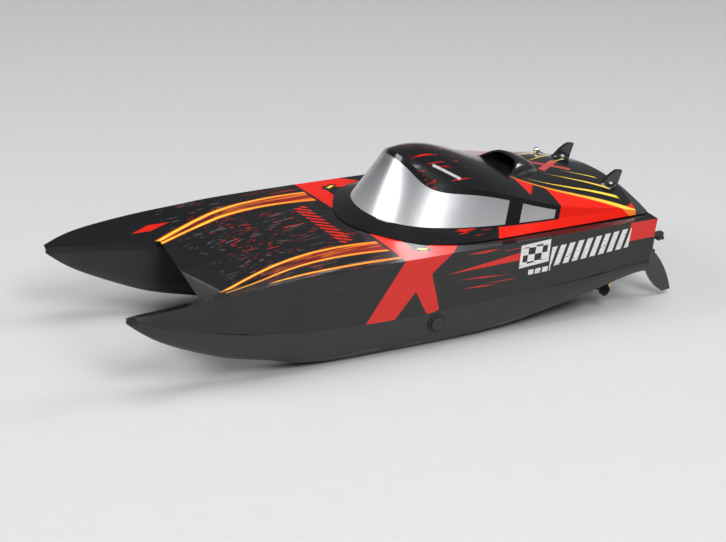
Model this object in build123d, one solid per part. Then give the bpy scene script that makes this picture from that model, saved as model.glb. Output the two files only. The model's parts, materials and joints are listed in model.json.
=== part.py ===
from build123d import *
import os
from math import cos, pi, radians, sin

# A radio-controlled racing catamaran, one STEP file per piece, in millimetres.
# While building, x = 0 is the transom, +X runs to the bow, +Y to port, and z = 0 is the keel flats.
# On export every piece is shifted along X so that the origin lies under the middle of the boat.

# --- Hull ---
HULL_LENGTH = 430.0        # transom to bow tips
BEAM = 150.0               # across the gunwales
TUNNEL_WIDTH = 90.0        # between the sponsons
DECK_HEIGHT = 74.0         # flat deck above the keels
WALL = 2.0                 # moulded skin
CHINE_TUCK = 3.0           # chine stands this far inside the gunwale
TUNNEL_ROOF = 48.0         # where the roof of the tunnel meets the sponsons
VEE_HEIGHT = 31.0          # lowest line of the vee under the middle of the bridge
SEAM_UNDER_CHINE = 0.8     # seam between deck and lower hull, outside
SEAM_UNDER_DECK = 5.0      # and on the inner walls
STEP_Y = BEAM / 2 - 11     # where the seam steps from one to the other, inside the sponsons
LIP_POINT = 0.831          # front point of the bridge, as a share of the hull
LIP_CORNER = 0.814         # its corners at the sponsons

# Hull lines, one row per station: place along the hull (share of its length), gunwale in from the beam,
# gunwale below the deck, inner edge out from the tunnel, inner edge below the deck, chine height, keel height.
LINES = [
    (0.000, 1.4, 1.0, 0.0, 0.0, 38.0, 25.0),
    (0.120, 0.8, 0.8, 0.0, 0.0, 34.5, 14.5),
    (0.240, 0.3, 0.6, 0.0, 0.0, 32.0, 5.0),
    (0.360, 0.1, 0.5, 0.0, 0.0, 30.5, -0.6),
    (0.500, 0.0, 0.5, 0.0, 0.0, 29.0, -1.0),
    (0.620, 0.0, 0.9, 0.0, 1.9, 30.0, -0.6),
    (0.710, 0.0, 2.0, 0.0, 6.6, 32.5, 4.5),
    (0.800, 0.3, 4.3, 0.0, 14.6, 37.5, 14.0),
    (0.860, 0.9, 6.2, 4.6, 16.0, 43.0, 22.5),
    (0.910, 2.1, 8.2, 9.6, 15.8, 48.0, 31.5),
    (0.960, 5.0, 11.0, 12.8, 15.2, 53.5, 42.5),
    (0.985, 8.2, 13.0, 14.8, 14.8, 57.0, 50.0),
    (1.000, 10.4, 14.4, 15.4, 15.2, 57.6, 55.0),
]

# --- Hatch and canopy ---
HATCH_BACK, HATCH_FRONT = 36.0, 194.0
HATCH_WIDTH = 78.0
HATCH_CORNER = 14.0
COAMING_HEIGHT = 6.0
COAMING_WALL = 1.6
CANOPY_GAP = 0.4           # under the canopy's edge
SILL_RISE = 6.0            # flared skirt, up to the window sill
ROOF_BLANK_RISE = 52.0     # height to which the sides are drawn before the roof trims them
COVER_SIDE, COVER_MIDDLE = 17.0, 3.5    # fixed tail cover behind the canopy, at its sides and middle
GLASS = 1.0
ROOF_BAND = 3.0            # roof edge left above the glass
PILLAR_FRONT, PILLAR_BACK, QUARTER_BACK = 130.0, 118.0, 88.0
PILLAR_LEAN = 0.35
COVER_DROP = 0.8           # tail cover under the line of the roof

# Half outlines of the canopy, bow to stern, as (x, y).
SKIRT_LINE = [(229, 0), (219, 30), (196, 56), (165, 65), (110, 66), (60, 65.5), (0, 64)]
SILL_LINE = [(214, 0), (204, 31), (184, 46), (156, 55), (110, 60.5), (60, 62), (0, 61.5)]
ROOF_LINE = [(190.5, 0), (184, 14), (165, 30), (140, 40), (105, 45), (60, 47), (0, 48)]
# Roof surface above the deck: x, height on the centreline, at ROOF_QUARTER and at ROOF_HALF out.
ROOF_QUARTER, ROOF_HALF = 32.0, 68.0
ROOF = [(-30, 8.5, 5.7, -4), (10, 13.2, 10.4, 0.8), (50, 19, 16.4, 7), (95, 26.5, 23.6, 14.5),
        (140, 42.5, 36.8, 18), (185, 50, 33.5, -4), (240, 46, 24, -12)]

SCOOP_WIDTH, SCOOP_BASE_X, SCOOP_LIP_X, SCOOP_TAIL_X, SCOOP_HEIGHT = 44.0, 99.0, 86.0, 66.0, 9.0
FIN_Y, FIN_FRONT, FIN_BACK, FIN_HEIGHT, FIN_THICK = 30.0, 25.0, 8.0, 9.5, 3.0
KNOB_X, KNOB_Y, KNOB_BALL, KNOB_STEM = 27.0, -44.0, 5.0, 3.0
PEG_DIAMETER, PEG_X, PEG_Y = 4.0, 203.0, 22.0

# --- Drive line, one in each sponson ---
SHAFT_Y = (TUNNEL_WIDTH / 2 + BEAM / 2 - CHINE_TUCK) / 2     # middle of the sponson
SHAFT_Z = 18.0
SHAFT_DIAMETER = 3.0
RUNNING = 0.05             # radial running clearance
FIT = 0.02                 # radial clearance of glued or pushed-in pieces
MOTOR_DIAMETER = 19.0
MOTOR_LENGTH = 32.0
MOTOR_BACK = 132.0         # output end of the can
MOTOR_SHAFT_DIAMETER = 2.0
COUPLING_DIAMETER = 7.0
COUPLING_LENGTH = 22.0
POCKET_LENGTH = 64.0       # propeller pocket, open to the stern
POCKET_ROOF = 30.0
TUBE_DIAMETER = 5.0
TUBE_LENGTH = 44.0
STRUT_X = 46.0
PROP_X = 32.0
PROP_DIAMETER = 18.4
PROP_ROOM = 0.8            # between blade tips and pocket walls
PROP_BLADES = 3
HUB_LENGTH = 9.0
HUB_DIAMETER = 6.0

# --- Steering ---
RUDDER_Y = SHAFT_Y - 2.5
RUDDER_X = -11.0
STOCK_DIAMETER = 3.0
BRACKET_Z = 40.0
BRACKET_HEIGHT = 10.0
LINK_Z = 51.0
LINK_ARM = 10.0            # tiller and servo arms
TIE_ARM = 9.0
WIRE_DIAMETER = 1.6
PIN_PLAY = 0.3             # linkage pins are loose in their slots
PIN_DIAMETER = 1.6
PUSHROD_FLAT = 2.0         # thickness of the pushrod's flattened ends
BOOT_DIAMETER = 6.0
SCREW_DIAMETER = 2.0
SERVO_X = 70.0
SERVO_SIZE = (23.0, 22.0, 12.0)

# --- Equipment ---
BATTERY_SIZE = (70.0, 38.0, 19.0)
BATTERY_BACK = 104.0
TRAY_TOP = 50.0
RADIO_SIZE = (40.0, 32.0, 14.0)
PLUG_X, PLUG_Z, PLUG_DIAMETER = 191.0, 20.0, 7.0

GUNWALE_Y = BEAM / 2
TUNNEL_Y = TUNNEL_WIDTH / 2


def bar(x0, x1, y0, y1, z0, z1):
    """A box between two opposite corners."""
    return Pos((x0 + x1) / 2, (y0 + y1) / 2, (z0 + z1) / 2) * Box(x1 - x0, y1 - y0, z1 - z0)


def rod(axis_start, axis_dir, diameter, length):
    """A round bar from a point, along a direction."""
    face = Plane(axis_start, z_dir=axis_dir) * Circle(diameter / 2)
    return extrude(face, length)


def both_sides(half):
    return half + mirror(half, Plane.XZ)


def starboard(piece):
    return mirror(piece, Plane.XZ)


def across(x, points):
    """A closed outline of (y, z) points in the cross-section at x."""
    return Plane.YZ.offset(x) * make_face(Polyline(*points, close=True))


# ---------- hull ----------
def sponson_section(row, inset):
    """Cross-section of the port sponson: deck, side wall, rounded bottom and inner wall."""
    share, gunwale_in, gunwale_drop, inner_out, inner_drop, chine, keel = row
    x = max(share * HULL_LENGTH, inset)
    inner_y = TUNNEL_Y + inner_out + inset
    gunwale_y = GUNWALE_Y - gunwale_in - inset
    chine_y = gunwale_y - CHINE_TUCK
    deck_z = DECK_HEIGHT - inner_drop - inset
    keel_y = (inner_y + chine_y) / 2
    keel_z = keel + inset
    inner = (inner_y, deck_z)
    gunwale = (gunwale_y, DECK_HEIGHT - gunwale_drop - inset)
    chine_point = (chine_y, chine)
    bilge = (chine_y - 0.10 * (chine_y - keel_y), keel_z + 0.38 * (chine - keel_z))
    quarter = (keel_y + 0.5 * (chine_y - keel_y), keel_z + 0.09 * (chine - keel_z))
    inner_bilge = (inner_y + 0.08 * (keel_y - inner_y), keel_z + 0.24 * (deck_z - keel_z))
    outline = Polyline(inner_bilge, inner, gunwale, chine_point)
    outline += Spline(chine_point, bilge, quarter, (keel_y, keel_z), inner_bilge)
    return Plane.YZ.offset(x) * make_face(outline)


def sponson(inset):
    """The port sponson as a solid, drawn in by inset on every side."""
    rows = LINES if inset == 0 else LINES[:-2]
    return loft([sponson_section(row, inset) for row in rows])


def bridge_section(share, inner_drop, gunwale_drop, middle_drop, inset):
    """Half cross-section of the bridge between the sponsons, from the centreline to port."""
    overlap = 1.0 + 2 * inset
    slope = (inner_drop - gunwale_drop) / (GUNWALE_Y - TUNNEL_Y)
    edge_y = TUNNEL_Y + overlap
    edge_z = DECK_HEIGHT - inner_drop + slope * overlap - 0.15
    points = [(0, DECK_HEIGHT - middle_drop - inset), (edge_y, edge_z - inset),
              (edge_y, TUNNEL_ROOF + inset), (0, VEE_HEIGHT + inset)]
    return across(max(share * HULL_LENGTH, inset), points)


def bridge(inset):
    """The port half of the bridge, with its raked front facet."""
    sections = []
    for row in LINES[:8]:
        share, _, gunwale_drop, _, inner_drop, _, _ = row
        sections.append(bridge_section(share, inner_drop, gunwale_drop, 1.1 * inner_drop, inset))
    tip = LINES[8]
    sections.append(bridge_section(LIP_POINT + 0.003, tip[4] + 0.6, tip[2], 1.12 * tip[4] + 0.6, inset))
    half = loft(sections)
    corner = Vector(LIP_CORNER * HULL_LENGTH, TUNNEL_Y, DECK_HEIGHT - LINES[8][4])
    top = Vector(LIP_POINT * HULL_LENGTH, 0, DECK_HEIGHT - 1.14 * LINES[8][4])
    foot = Vector(LIP_POINT * HULL_LENGTH - 16.5, 0, VEE_HEIGHT)
    normal = (corner - top).cross(foot - top).normalized()
    if normal.X < 0:
        normal = -normal
    facet = Plane(top - normal * inset, z_dir=normal)
    return split(half, bisect_by=facet, keep=Keep.BOTTOM)


def pocket(grow):
    """Room for the port propeller, under the stern."""
    half_width = PROP_DIAMETER / 2 + PROP_ROOM + grow
    return bar(-5, POCKET_LENGTH + grow, SHAFT_Y - half_width, SHAFT_Y + half_width, -5, POCKET_ROOF + grow)


def hull_shell():
    """Both mouldings together, hollow, with propeller pockets and flat keels."""
    outer = both_sides(sponson(0) + bridge(0)) - both_sides(pocket(0))
    inner = both_sides(sponson(WALL) + bridge(WALL)) - both_sides(pocket(WALL))
    floor = bar(-50, HULL_LENGTH + 50, -BEAM, BEAM, -20, 0)
    return outer - floor - inner


def parting():
    """Everything above the seam: outside STEP_Y it follows the chine, inside it the deck's underside."""
    stations = [(-0.02,) + LINES[0][1:]] + LINES[1:] + [(1.02,) + LINES[-1][1:]]
    chine_seam = [(row[0] * HULL_LENGTH, row[5] - SEAM_UNDER_CHINE) for row in stations]
    deck_seam = [(row[0] * HULL_LENGTH, DECK_HEIGHT - row[4] - SEAM_UNDER_DECK) for row in stations]
    blocks = []
    for seam, y0, y1 in ((chine_seam, STEP_Y, BEAM), (deck_seam, -STEP_Y, STEP_Y), (chine_seam, -BEAM, -STEP_Y)):
        high = 3 * DECK_HEIGHT
        outline = Spline(*seam) + Polyline(seam[-1], (seam[-1][0], high), (seam[0][0], high), seam[0])
        face = Plane((0, y0, 0), x_dir=(1, 0, 0), z_dir=(0, -1, 0)) * make_face(outline)
        blocks.append(extrude(face, y0 - y1))
    return blocks[0] + blocks[1] + blocks[2]


def hatch(grow, z0, z1):
    """The rounded hatch opening as a block, from z0 to z1."""
    length = HATCH_FRONT - HATCH_BACK + 2 * grow
    plan = RectangleRounded(length, HATCH_WIDTH + 2 * grow, HATCH_CORNER + grow)
    return Pos((HATCH_FRONT + HATCH_BACK) / 2, 0, z0) * extrude(plan, z1 - z0)


def deck(shell, above_seam):
    """Top moulding with the hatch, its coaming, and holes for pegs and lock."""
    top = shell & above_seam
    rim = hatch(COAMING_WALL, DECK_HEIGHT - WALL, DECK_HEIGHT + COAMING_HEIGHT)
    top = top + rim - hatch(0, DECK_HEIGHT - 3 * WALL, DECK_HEIGHT + 2 * COAMING_HEIGHT)
    for side in (1, -1):
        top -= rod((PEG_X, side * PEG_Y, DECK_HEIGHT - 10), (0, 0, 1), PEG_DIAMETER + 0.8, 20)
    return top - bar(KNOB_X - 2.2, KNOB_X + 2.2, KNOB_Y - 5, KNOB_Y + 5, DECK_HEIGHT - 10, DECK_HEIGHT + 1)


def link_height():
    """Centre height of the pushrod, over the port tiller with a little play."""
    return LINK_Z + 1.5 + PIN_PLAY + PUSHROD_FLAT / 2


def screw_places():
    """(y, z) of the four screws that hold the rudder brackets to the transom."""
    return [(side * RUDDER_Y + offset, BRACKET_Z + 4.5) for side in (1, -1) for offset in (-5.5, 5.5)]


def lower_hull(shell, above_seam):
    """Bottom moulding, with holes for stern tubes, pushrod boot and drain."""
    bottom = shell - above_seam
    for side in (1, -1):
        bottom -= rod((POCKET_LENGTH - 8, side * SHAFT_Y, SHAFT_Z), (1, 0, 0), TUBE_DIAMETER + 2 * FIT, 20)
    for y, z in screw_places():
        bottom -= rod((-5, y, z), (1, 0, 0), SCREW_DIAMETER + 2 * FIT, 10)
    bottom -= rod((-5, RUDDER_Y - LINK_ARM, link_height()), (1, 0, 0), BOOT_DIAMETER + 2 * FIT, 10)
    bottom -= rod((PLUG_X, GUNWALE_Y + 10, PLUG_Z), (0, -1, 0), PLUG_DIAMETER + 4 + 2 * FIT, 25)
    bottom -= rod((PLUG_X, GUNWALE_Y + 10, PLUG_Z), (0, -1, 0), PLUG_DIAMETER + 7 + 2 * FIT, 13.5)
    return bottom


# ---------- canopy ----------
def outline_at(z, line, inset, back):
    """A canopy outline at one height, drawn in by inset; line holds half of it, bow to stern."""
    half = []
    for index, (x, y) in enumerate(line):
        turn = radians(min(90, 30 * index))
        half.append((max(x - inset * cos(turn), back), max(y - inset * sin(turn), 0)))
    port = [(x, y, 0) for x, y in half]
    outline = Spline(*[(x, -y, 0) for x, y in reversed(half[1:])], *port)
    outline += Line(port[-1], (port[-1][0], -port[-1][1]))
    return Pos(0, 0, z) * make_face(outline)


def roof_block(drop):
    """Everything under the roof surface, lowered by drop."""
    sections = []
    for x, middle, quarter, edge in ROOF:
        tops = [(-ROOF_HALF, edge), (-ROOF_QUARTER, quarter), (0, middle), (ROOF_QUARTER, quarter), (ROOF_HALF, edge)]
        points = [(y, DECK_HEIGHT + z - drop) for y, z in tops]
        outline = Spline(*points)
        outline += Polyline(points[-1], (ROOF_HALF, DECK_HEIGHT / 2), (-ROOF_HALF, DECK_HEIGHT / 2), points[0])
        sections.append(Plane.YZ.offset(x) * make_face(outline))
    return loft(sections)


def greenhouse(inset):
    """Sides of the canopy above the sill, before the roof trims them."""
    low = outline_at(DECK_HEIGHT + SILL_RISE, SILL_LINE, inset, 0)
    high = outline_at(DECK_HEIGHT + ROOF_BLANK_RISE, ROOF_LINE, inset, 0)
    return loft([low, high], ruled=True)


def canopy_form(inset, below):
    """The whole outer shape from skirt to roof, drawn in by inset and starting below the skirt's edge."""
    skirt = outline_at(DECK_HEIGHT + CANOPY_GAP - below, SKIRT_LINE, inset, 0)
    sill = outline_at(DECK_HEIGHT + SILL_RISE, SILL_LINE, inset, 0)
    return (loft([skirt, sill], ruled=True) + greenhouse(inset)) & roof_block(inset)


def slanted(x_bottom, x_top_end):
    """Space between two leaning lines seen from the side, over the sill; x values are at the sill."""
    z0 = DECK_HEIGHT + SILL_RISE + 0.8
    z1 = DECK_HEIGHT + ROOF_BLANK_RISE + 10
    lean = PILLAR_LEAN * (z1 - z0)
    points = [(x_bottom, z0), (x_top_end, z0), (x_top_end - lean, z1), (x_bottom - lean, z1)]
    return extrude(Plane.XZ * make_face(Polyline(*points, close=True)), BEAM, both=True)


def glazing():
    """Windshield and quarter windows: the outer millimetre of the sides, under the roof's edge."""
    layer = (greenhouse(0) - greenhouse(GLASS)) & roof_block(ROOF_BAND)
    windshield = layer & slanted(PILLAR_FRONT, 2 * HULL_LENGTH)
    quarters = layer & slanted(QUARTER_BACK, PILLAR_BACK)
    port = quarters & bar(0, HULL_LENGTH, 1, BEAM, 0, 3 * DECK_HEIGHT)
    return windshield, port


def roof_height(x):
    """Height of the roof's centreline at x, between the two nearest roof stations."""
    for (xa, za, _, _), (xb, zb, _, _) in zip(ROOF, ROOF[1:]):
        if x <= xb:
            return DECK_HEIGHT + za + (zb - za) * (x - xa) / (xb - xa)
    return DECK_HEIGHT + ROOF[-1][1]


def scoop_form(inset):
    """Low teardrop hump that carries the air intake."""
    sections = []
    for x, width, rise in ((SCOOP_BASE_X + 6, SCOOP_WIDTH, 2.5), (SCOOP_LIP_X, 0.8 * SCOOP_WIDTH, SCOOP_HEIGHT),
                           (SCOOP_TAIL_X, 0.4 * SCOOP_WIDTH, 1.2)):
        base = roof_height(x) - 2.5
        half = width / 2 - inset
        top = base + 2.5 + rise - inset
        shoulder = base + 0.8 * (top - base)
        outline = Spline((-half, base), (-0.75 * half, shoulder), (0, top), (0.75 * half, shoulder), (half, base))
        outline += Line((half, base), (-half, base))
        sections.append(Plane.YZ.offset(x) * make_face(outline))
    return loft(sections)


def roof_scoop():
    """Hump on the roof with a raked, open mouth facing the bow."""
    hump = scoop_form(0) - roof_block(0)
    mouth_foot = roof_height(SCOOP_BASE_X) - 1
    mouth_lip = roof_height(SCOOP_LIP_X) + SCOOP_HEIGHT + 1
    rake = [(SCOOP_BASE_X, mouth_foot), (SCOOP_LIP_X, mouth_lip), (SCOOP_LIP_X, mouth_lip + 20),
            (SCOOP_BASE_X + 30, mouth_lip + 20), (SCOOP_BASE_X + 30, mouth_foot)]
    front = extrude(Plane.XZ * make_face(Polyline(*rake, close=True)), BEAM, both=True)
    hollow = scoop_form(1.4) & bar(SCOOP_LIP_X - 14, HULL_LENGTH, -BEAM, BEAM, 0, 3 * DECK_HEIGHT)
    return hump - front - hollow


def tail_space(grow):
    """Space behind the canopy's rounded end, moved towards the bow by grow."""
    half = BEAM / 2
    arc = ThreePointArc((COVER_SIDE + grow, half), (COVER_MIDDLE + grow, 0), (COVER_SIDE + grow, -half))
    outline = arc + Polyline((COVER_SIDE + grow, -half), (-20, -half), (-20, half), (COVER_SIDE + grow, half))
    return extrude(make_face(outline), 3 * DECK_HEIGHT)


def canopy(windshield, port_window):
    """Lift-off cabin moulding, hollow, with recesses for the glass and a bore for the lock."""
    body = canopy_form(0, 0) - tail_space(CANOPY_GAP)
    inner = canopy_form(WALL, 2) - tail_space(CANOPY_GAP + WALL)
    shell = body - inner - windshield - port_window - starboard(port_window)
    boss = rod((KNOB_X, KNOB_Y, DECK_HEIGHT + 1), (0, 0, 1), 7, 30) & roof_block(1)
    return shell + boss - rod((KNOB_X, KNOB_Y, DECK_HEIGHT - 5), (0, 0, 1), KNOB_STEM + 2 * RUNNING, 50)


def stern_cover():
    """Fixed tail fairing behind the canopy, a little lower than its roof."""
    return Pos(0, 0, -CANOPY_GAP + FIT) * (canopy_form(0, 0) & tail_space(0) & roof_block(COVER_DROP))


def tail_fin():
    """Port fin: a rounded pod on the roof that carries a thin raked blade."""
    foot = roof_height(FIN_BACK) - 2.5
    length = FIN_FRONT - FIN_BACK
    pod = Pos((FIN_FRONT + FIN_BACK) / 2, FIN_Y, foot) * scale(Sphere(1), by=(length / 2, 4.8, 4.6))
    tip = foot + 2.5 + FIN_HEIGHT
    edge = Spline((FIN_FRONT - 1.5, foot), (FIN_FRONT - 8, foot + 0.62 * (tip - foot)), (FIN_BACK + 1, tip))
    back = Polyline(edge @ 1, (FIN_BACK - 4, tip - 0.5), (FIN_BACK - 1, foot), edge @ 0)
    blade = extrude(Plane.XZ.offset(-FIN_Y) * make_face(edge + back), FIN_THICK / 2, both=True)
    return (pod + blade) - roof_block(0)


def lock_stem(z0, z1):
    return rod((KNOB_X, KNOB_Y, z0), (0, 0, 1), KNOB_STEM, z1 - z0)


def lock_knob():
    """Chrome ball on the upper stem, over the height of the coaming."""
    top = roof_height(KNOB_X) - 3.5
    ball = Pos(KNOB_X, KNOB_Y, top + 1.5) * Sphere(KNOB_BALL / 2) - roof_block(-0.3)
    return lock_stem(DECK_HEIGHT + COAMING_HEIGHT + 0.5, top) + ball


def lock_tongue():
    """Lower stem with the cross tongue: it passes the deck's slot, and turned it catches underneath."""
    z0 = DECK_HEIGHT - 8
    tongue = bar(KNOB_X - 1.5, KNOB_X + 1.5, KNOB_Y - 4.2, KNOB_Y + 4.2, z0, z0 + 2.5)
    return lock_stem(z0, DECK_HEIGHT + COAMING_HEIGHT + 0.5) + tongue


def canopy_pegs():
    """Two dowels that drop into the deck ahead of the hatch."""
    room = canopy_form(WALL, 8)
    pegs = [rod((PEG_X, side * PEG_Y, DECK_HEIGHT - 6), (0, 0, 1), PEG_DIAMETER, 40) & room for side in (1, -1)]
    return Compound(children=pegs)


def hatch_seal():
    """Foam strip around the coaming."""
    block = hatch(COAMING_WALL + FIT + 3, DECK_HEIGHT + 0.3, DECK_HEIGHT + 3.3)
    return block - hatch(COAMING_WALL + FIT, DECK_HEIGHT - 1, DECK_HEIGHT + 6)


# ---------- drive line ----------
def shaft_rod(x0, x1, diameter):
    return rod((x0, SHAFT_Y, SHAFT_Z), (1, 0, 0), diameter, x1 - x0)


def motor():
    """Can motor with end boss, cooling slots and two terminals."""
    can = shaft_rod(MOTOR_BACK, MOTOR_BACK + MOTOR_LENGTH, MOTOR_DIAMETER)
    can = fillet(can.edges().filter_by(GeomType.CIRCLE), 1.2)
    can += shaft_rod(MOTOR_BACK - 2, MOTOR_BACK + 1, 7)
    can += shaft_rod(MOTOR_BACK + MOTOR_LENGTH - 1, MOTOR_BACK + MOTOR_LENGTH + 2, 6)
    for side in (1, -1):
        x = MOTOR_BACK + MOTOR_LENGTH
        y = SHAFT_Y + side * 6.5
        can += bar(x - 1, x + 4, y - 1.2, y + 1.2, SHAFT_Z - 0.3, SHAFT_Z + 0.3)
        can -= bar(x - 10, x - 4, y - 1.5, y + 1.5, SHAFT_Z - 12, SHAFT_Z + 12)
    return can - shaft_rod(MOTOR_BACK - 10, MOTOR_BACK + 24, MOTOR_SHAFT_DIAMETER + 2 * RUNNING)


def motor_mount():
    """Saddle glued in the sponson, half round under the can."""
    x0, x1 = MOTOR_BACK + 3, MOTOR_BACK + MOTOR_LENGTH - 11
    half = MOTOR_DIAMETER / 2 - 0.5
    block = bar(x0, x1, SHAFT_Y - half, SHAFT_Y + half, 3.5, SHAFT_Z - 2)
    block = block & sponson(WALL + 0.4)
    return block - shaft_rod(x0 - 5, x1 + 5, MOTOR_DIAMETER + 2 * FIT)


def motor_strap():
    """Spring band over the can."""
    x0, x1 = MOTOR_BACK + 6, MOTOR_BACK + 13
    band = shaft_rod(x0, x1, MOTOR_DIAMETER + 1.0) - shaft_rod(x0 - 1, x1 + 1, MOTOR_DIAMETER + 2 * FIT)
    return band & bar(x0 - 1, x1 + 1, 0, BEAM, SHAFT_Z - 1.8, DECK_HEIGHT)


def motor_shaft():
    return shaft_rod(MOTOR_BACK - 12, MOTOR_BACK + 23, MOTOR_SHAFT_DIAMETER)


def shaft_coupling():
    """Brass sleeve joining motor shaft and propeller shaft, with two grub-screw flats."""
    x1 = MOTOR_BACK - 4
    x0 = x1 - COUPLING_LENGTH
    sleeve = shaft_rod(x0, x1, COUPLING_DIAMETER)
    sleeve = chamfer(sleeve.edges().filter_by(GeomType.CIRCLE), 0.5)
    sleeve -= shaft_rod(x0 - 1, x0 + 11, SHAFT_DIAMETER + 2 * FIT)
    sleeve -= shaft_rod(x0 + 10, x1 + 1, MOTOR_SHAFT_DIAMETER + 2 * FIT)
    for x in (x0 + 5, x1 - 5):
        sleeve -= rod((x, SHAFT_Y, SHAFT_Z + 1.2), (0, 0, 1), 2, 5)
    return sleeve


def prop_shaft():
    return shaft_rod(PROP_X - 7, MOTOR_BACK - 4 - COUPLING_LENGTH + 10, SHAFT_DIAMETER)


def stern_tube():
    x0 = POCKET_LENGTH - 4
    tube = shaft_rod(x0, x0 + TUBE_LENGTH, TUBE_DIAMETER) + shaft_rod(x0 + 30, x0 + 33, TUBE_DIAMETER + 3)
    return tube - shaft_rod(x0 - 1, x0 + TUBE_LENGTH + 1, SHAFT_DIAMETER + 2 * RUNNING)


def prop_strut():
    """Bearing ring hung from the pocket's roof."""
    ring = shaft_rod(STRUT_X - 3, STRUT_X + 3, SHAFT_DIAMETER + 4)
    leg = bar(STRUT_X - 2.5, STRUT_X + 2.5, SHAFT_Y - 1, SHAFT_Y + 1, SHAFT_Z, POCKET_ROOF)
    pad = bar(STRUT_X - 6, STRUT_X + 6, SHAFT_Y - 4, SHAFT_Y + 4, POCKET_ROOF - 1.5, POCKET_ROOF)
    return ring + leg + pad - shaft_rod(STRUT_X - 9, STRUT_X + 9, SHAFT_DIAMETER + 2 * RUNNING)


def propeller():
    """Hub and curved blades, each blade a loft that twists towards its tip."""
    hub = shaft_rod(PROP_X - HUB_LENGTH / 2, PROP_X + HUB_LENGTH / 2, HUB_DIAMETER)
    blades = hub
    for count in range(PROP_BLADES):
        sections = []
        for share, chord, pitch in ((0.2, 5.0, 62), (0.55, 8.5, 42), (0.85, 6.5, 30), (0.98, 2.5, 26)):
            radius = share * PROP_DIAMETER / 2
            plane = Plane((PROP_X, SHAFT_Y, SHAFT_Z), x_dir=(1, 0, 0), z_dir=(0, 0, 1))
            section = Rot(0, 0, 90 - pitch) * Ellipse(chord / 2, 0.5)
            sections.append(plane.offset(radius) * section)
        blade = loft(sections)
        turn = Axis((PROP_X, SHAFT_Y, SHAFT_Z), (1, 0, 0))
        blades = blades + blade.rotate(turn, count * 360 / PROP_BLADES)
    return blades - shaft_rod(PROP_X - 20, PROP_X + 20, SHAFT_DIAMETER + 2 * FIT)


def prop_nut():
    """Domed nut behind the hub."""
    x1 = PROP_X - HUB_LENGTH / 2
    nut = extrude(Plane((x1 - 2.4, SHAFT_Y, SHAFT_Z), z_dir=(1, 0, 0)) * RegularPolygon(2.9, 6), 2.4)
    return nut - shaft_rod(x1 - 10, x1 + 5, SHAFT_DIAMETER + 2 * FIT)


# ---------- steering ----------
def rudder():
    """Curved blade swept aft, with its stock."""
    side = [(RUDDER_X + 4, 35), (RUDDER_X - 3, 18), (RUDDER_X - 19, 2.6)]
    back = [(RUDDER_X - 27, 3.4), (RUDDER_X - 20, 19), (RUDDER_X - 8, 35)]
    outline = Spline(*side) + Line(side[-1], back[0]) + Spline(*back) + Line(back[-1], side[0])
    blade = extrude(Plane.XZ.offset(-RUDDER_Y) * make_face(outline), 1.1, both=True)
    blade += bar(RUDDER_X - 5, RUDDER_X + 3.5, RUDDER_Y - 2.4, RUDDER_Y + 2.4, 31, 39.3)
    stock = rod((RUDDER_X, RUDDER_Y, 33), (0, 0, 1), STOCK_DIAMETER, LINK_Z + 3 - 33)
    return blade + stock


def rudder_bracket():
    """Transom bracket with the stock's bearing and two screw ears."""
    z0, z1 = BRACKET_Z - BRACKET_HEIGHT / 2 + 5, BRACKET_Z + BRACKET_HEIGHT / 2 + 4
    plate = bar(-2.2, 0, RUDDER_Y - 8, RUDDER_Y + 8, z0 - 2, z1 + 0.2)
    arm = bar(RUDDER_X, -1, RUDDER_Y - 3, RUDDER_Y + 3, z0, z1)
    arm += rod((RUDDER_X, RUDDER_Y, z0), (0, 0, 1), 7, z1 - z0)
    body = plate + arm - rod((RUDDER_X, RUDDER_Y, z0 - 5), (0, 0, 1), STOCK_DIAMETER + 2 * RUNNING, 30)
    for side in (1, -1):
        body -= rod((-6, RUDDER_Y + side * 5.5, BRACKET_Z + 4.5), (1, 0, 0), SCREW_DIAMETER + 0.2, 10)
    return body


def bracket_screws():
    """Two pan-head screws for each bracket."""
    screws = []
    for y, z in screw_places():
        head = rod((-4.0, y, z), (1, 0, 0), 4, 1.7) - bar(-5, -3.3, y - 1.5, y + 1.5, z - 0.3, z + 0.3)
        screws.append(head + rod((-2.4, y, z), (1, 0, 0), SCREW_DIAMETER, 6.5))
    return Compound(children=screws)


def tiller(inner_arm):
    """Arm clamped on the stock: a long arm aft for the tie bar, and on one side an arm for the pushrod."""
    z0 = LINK_Z - 1.5
    hub = rod((RUDDER_X, RUDDER_Y, z0), (0, 0, 1), 7, 3)
    arm = hub + bar(RUDDER_X - TIE_ARM - 2.5, RUDDER_X, RUDDER_Y - 2, RUDDER_Y + 2, z0, z0 + 3)
    arm += rod((RUDDER_X - TIE_ARM, RUDDER_Y, z0 + 3), (0, 0, -1), PIN_DIAMETER, 7)
    if inner_arm:
        arm += bar(RUDDER_X - 2, RUDDER_X + 2, RUDDER_Y - LINK_ARM - 2.5, RUDDER_Y, z0, z0 + 3)
        arm += rod((RUDDER_X, RUDDER_Y - LINK_ARM, z0), (0, 0, 1), PIN_DIAMETER, 7)
    return arm - rod((RUDDER_X, RUDDER_Y, z0 - 5), (0, 0, 1), STOCK_DIAMETER + 2 * FIT, 20)


def tie_bar():
    """Flat bar under the tillers, slotted fore and aft so that their arms can swing."""
    x = RUDDER_X - TIE_ARM
    z1 = LINK_Z - 1.5 - PIN_PLAY
    strip = bar(x - 2.6, x + 3.6, -RUDDER_Y - 3, RUDDER_Y + 3, z1 - 2, z1)
    half = PIN_DIAMETER / 2 + PIN_PLAY
    for side in (1, -1):
        strip -= bar(x - half, x + 2.4, side * RUDDER_Y - half, side * RUDDER_Y + half, z1 - 5, z1 + 5)
    return strip


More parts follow.
